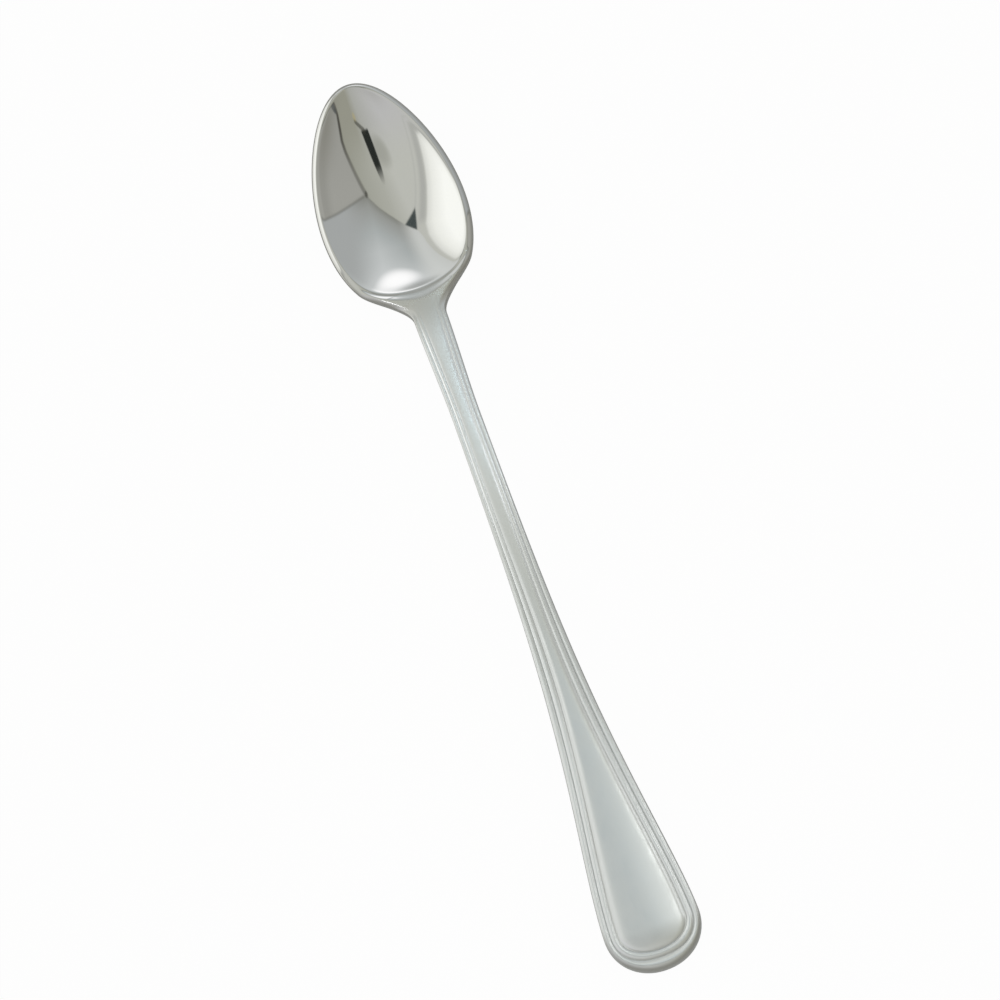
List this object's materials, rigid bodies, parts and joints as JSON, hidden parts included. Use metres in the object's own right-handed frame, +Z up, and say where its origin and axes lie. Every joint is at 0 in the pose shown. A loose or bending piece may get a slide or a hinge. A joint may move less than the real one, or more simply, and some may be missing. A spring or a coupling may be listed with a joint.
{
  "type": "iced tea spoon",
  "caption": "Long slender spoon with an egg-shaped bowl and an arched handle whose face has two border beads round a smooth panel.",
  "frame": {"origin": "on the surface that the spoon lies on, under the centre of its bounding box", "axes": "+X along the spoon from the handle's end to the bowl's tip, +Z up out of the bowl's hollow"},
  "size_m": [0.192, 0.0306, 0.0137],
  "materials": {
    "stainless_steel": "polished stainless steel, mirror-bright in the bowl"
  },
  "bodies": {
    "root": {"handle": "stainless_steel", "bowl": "stainless_steel"}
  },
  "joints": []
}
